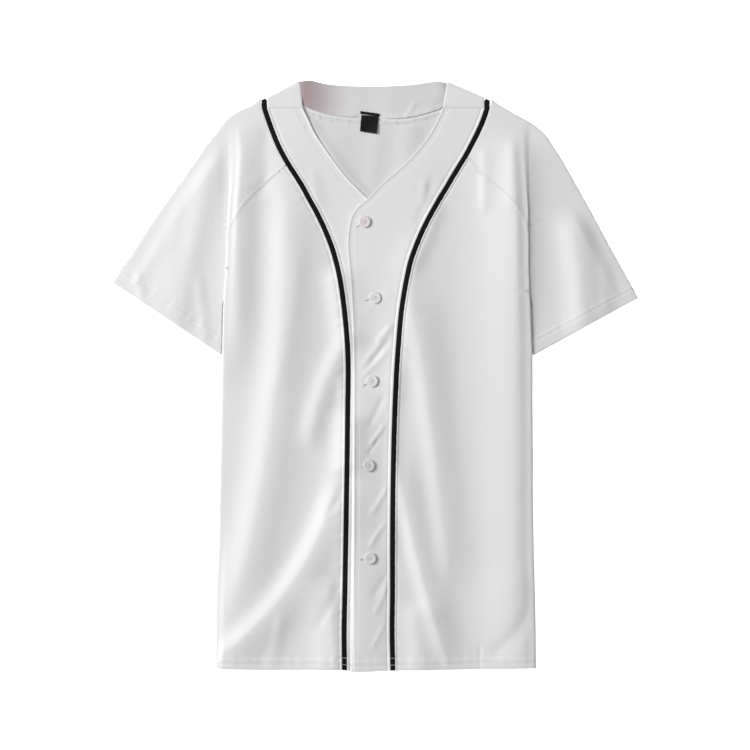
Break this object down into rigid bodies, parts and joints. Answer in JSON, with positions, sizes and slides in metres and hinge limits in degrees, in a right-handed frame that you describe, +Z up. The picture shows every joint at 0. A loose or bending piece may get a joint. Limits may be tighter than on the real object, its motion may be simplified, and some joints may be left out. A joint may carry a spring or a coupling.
{
  "type": "baseball jersey",
  "caption": "Short-sleeved raglan jersey with a V neck, a buttoned front and flat dark piping, lying flat on its back.",
  "frame": {"origin": "middle of the flat underside, under the centre of the whole outline", "axes": "+X to the wearer's left, +Y towards the neck, +Z up off the surface and out of the front"},
  "size_m": [0.6567, 0.7395, 0.0148],
  "materials": {
    "knit": "white double knit with a soft sheen",
    "piping": "black ribbed flat tape",
    "button": "white glossy shirt button",
    "label": "black woven, bare"
  },
  "bodies": {
    "root": {"back_body": "knit", "front_right": "knit", "front_left": "knit", "sleeve_right": "knit", "sleeve_left": "knit", "band_right": "knit", "band_left": "knit", "back_neck_band": "knit", "piping_right": "piping", "piping_left": "piping", "button_1": "button", "button_2": "button", "button_3": "button", "button_4": "button", "button_5": "button", "neck_label": "label"}
  },
  "joints": []
}
